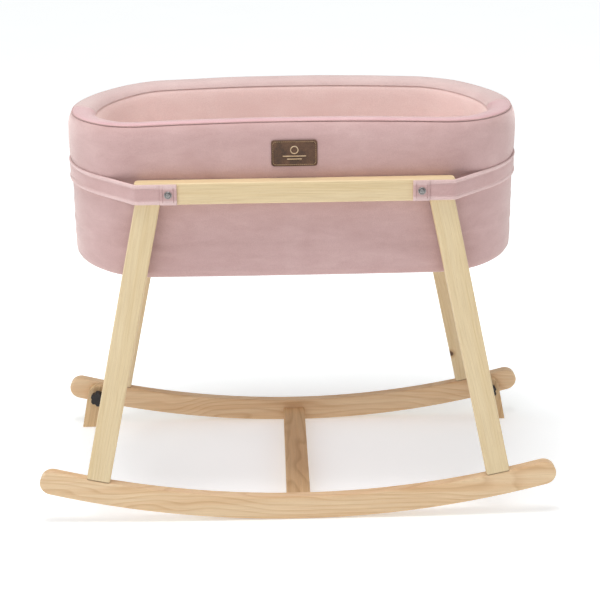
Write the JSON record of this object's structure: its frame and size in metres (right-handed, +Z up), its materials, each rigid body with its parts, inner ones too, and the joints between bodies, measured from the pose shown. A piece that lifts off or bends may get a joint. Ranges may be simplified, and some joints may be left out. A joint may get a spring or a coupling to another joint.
{
  "type": "bassinet on stand",
  "caption": "Rocking bassinet: padded oval velvet basket hung between rails and belts on a wooden stand with curved rockers and swing-down parking stops.",
  "frame": {"origin": "on the floor, under the middle of the stand", "axes": "+Z up, +X to the right along the rails and rockers, the front with the label faces -Y and the parking stops are at +Y"},
  "size_m": [0.93, 0.506, 0.73],
  "materials": {
    "ash_rocker": "satin",
    "pine_leg": "satin",
    "beech_dowel": "matte",
    "plywood": "matte",
    "brass_insert": "satin",
    "zinc_steel": "satin",
    "black_plastic": "satin",
    "velvet_belt": "matte",
    "velvet_wall": "matte",
    "velvet_lining": "matte",
    "velvet_rim_front": "matte",
    "velvet_rim_rear": "matte",
    "foam": "matte",
    "cotton_ticking": "matte",
    "leatherette": "satin"
  },
  "bodies": {
    "stand": {"front_rocker": "ash_rocker", "rear_rocker": "ash_rocker", "stretcher": "ash_rocker", "front_left_leg": "pine_leg", "front_right_leg": "pine_leg", "rear_left_leg": "pine_leg", "rear_right_leg": "pine_leg", "front_rail": "pine_leg", "rear_rail": "pine_leg", "leg_foot_dowels": "beech_dowel", "leg_top_dowels": "beech_dowel", "stretcher_dowels": "beech_dowel", "stop_inserts": "brass_insert", "left_belt": "velvet_belt", "right_belt": "velvet_belt", "belt_screws": "zinc_steel", "belt_cup_washers": "zinc_steel"},
    "basket": {"basket_cover": "velvet_wall", "basket_liner": "velvet_lining", "front_rim_strip": "velvet_rim_front", "rear_rim_strip": "velvet_rim_rear", "wall_foam": "foam", "base_board": "plywood", "label_patch": "leatherette"},
    "mattress": {"mattress_core": "foam", "mattress_ticking": "cotton_ticking"},
    "left_stop": {"left_stop": "ash_rocker"},
    "right_stop": {"right_stop": "ash_rocker"},
    "left_knob": {"left_stop_knob": "black_plastic", "left_knob_stud": "zinc_steel", "left_stop_washer": "zinc_steel"},
    "right_knob": {"right_stop_knob": "black_plastic", "right_knob_stud": "zinc_steel", "right_stop_washer": "zinc_steel"}
  },
  "joints": [
    {"name": "basket_lift", "type": "slide", "parent": "stand", "child": "basket", "axis": [0, 0, 1], "range_m": [0, 0.35]},
    {"name": "mattress_lift", "type": "slide", "parent": "basket", "child": "mattress", "axis": [0, 0, 1], "range_m": [0, 0.3]},
    {"name": "left_stop_pivot", "type": "hinge", "parent": "stand", "child": "left_stop", "pos_m": [-0.404, 0.2087, 0.06989], "axis": [0, 1, 0], "range_deg": [0, 180]},
    {"name": "right_stop_pivot", "type": "hinge", "parent": "stand", "child": "right_stop", "pos_m": [0.404, 0.2087, 0.06989], "axis": [0, -1, 0], "range_deg": [0, 180]},
    {"name": "left_knob_turn", "type": "hinge", "parent": "stand", "child": "left_knob", "pos_m": [-0.404, 0.1921, 0.06989], "axis": [0, -1, 0], "range_deg": [0, 360]},
    {"name": "right_knob_turn", "type": "hinge", "parent": "stand", "child": "right_knob", "pos_m": [0.404, 0.1921, 0.06989], "axis": [0, -1, 0], "range_deg": [0, 360]}
  ]
}
